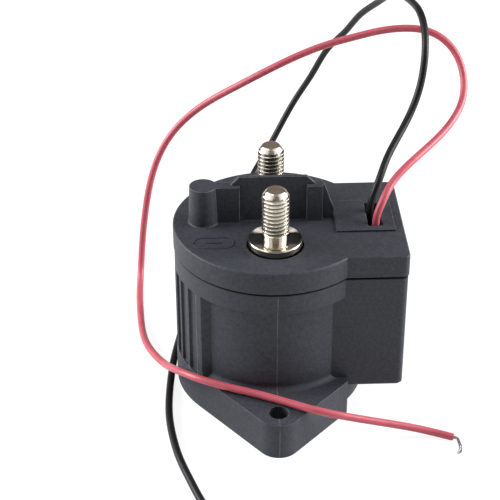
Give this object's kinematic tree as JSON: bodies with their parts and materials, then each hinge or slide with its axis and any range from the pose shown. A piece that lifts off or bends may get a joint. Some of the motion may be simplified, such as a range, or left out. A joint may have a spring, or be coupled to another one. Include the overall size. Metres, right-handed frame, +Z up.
{
  "type": "high voltage dc contactor",
  "caption": "Sealed high voltage DC contactor with a ribbed round housing, side wiring box, rhombic mounting flange, stud terminals parted by a barrier, and coil leads.",
  "frame": {"origin": "middle between the mounting holes, on the mounting plane", "axes": "+Z up along the terminal studs, +X towards the side box, +Y along the line of the studs"},
  "size_m": [0.1064, 0.1876, 0.1011],
  "materials": {
    "moulded_plastic": "fine-grained charcoal moulding",
    "nickel_plate": "bright warm nickel plate",
    "silver_contact": "silver alloy",
    "copper": "bare copper",
    "copper_winding": "enamelled copper wire",
    "soft_iron": "zinc-plated soft iron",
    "stainless_steel": "turned stainless steel",
    "spring_steel": "drawn spring wire",
    "magnet": "nickel-coated magnet",
    "bronze": "turned bronze",
    "alumina": "fired alumina",
    "nylon": "natural nylon",
    "rubber": "soft black rubber",
    "circuit_board": "green solder mask",
    "board_components": "dark component bodies",
    "red_insulation": "satin red silicone insulation",
    "black_insulation": "satin black silicone insulation",
    "tinned_strands": "tinned copper strands"
  },
  "bodies": {
    "housing": {"case": "moulded_plastic", "lid": "moulded_plastic", "wire_cover": "moulded_plastic", "front_stud": "nickel_plate", "rear_stud": "nickel_plate", "fixed_contact_tips": "silver_contact", "stud_braze_rings": "silver_contact", "exhaust_tube": "copper", "coil_winding": "copper_winding", "coil_tails": "copper_winding", "yoke_plate": "soft_iron", "yoke_cup": "soft_iron", "pole_piece": "soft_iron", "magnet_keepers": "soft_iron", "seal_frame": "stainless_steel", "return_spring": "spring_steel", "blowout_magnets": "magnet", "guide_bush": "bronze", "guide_sleeve": "bronze", "arc_chamber": "alumina", "insulator_tray": "nylon", "magnet_holder": "nylon", "bobbin": "nylon", "armature_cushion": "rubber", "economiser_board": "circuit_board", "board_parts": "board_components", "red_lead": "red_insulation", "black_lead": "black_insulation", "red_lead_strands": "tinned_strands", "black_lead_strands": "tinned_strands"},
    "plunger": {"armature": "soft_iron", "plunger_shaft": "stainless_steel", "spring_seat": "stainless_steel", "retaining_clip": "stainless_steel", "contact_spring": "spring_steel"},
    "bridge": {"contact_bridge": "copper", "bridge_bush": "nylon", "bridge_contact_tips": "silver_contact"}
  },
  "joints": [
    {"name": "plunger_slide", "type": "slide", "parent": "housing", "child": "plunger", "axis": [0, 0, 1], "range_m": [0, 0.0028], "stiffness_N_per_m": 300, "springref_m": -0.004, "deforming": ["return_spring"]},
    {"name": "bridge_slide", "type": "slide", "parent": "plunger", "child": "bridge", "axis": [0, 0, 1], "range_m": [-0.0008, 0], "deforming": ["contact_spring"]}
  ],
  "couplings": [
    {"joint": "bridge_slide", "follows": "plunger_slide", "ratio": -0.28571}
  ]
}
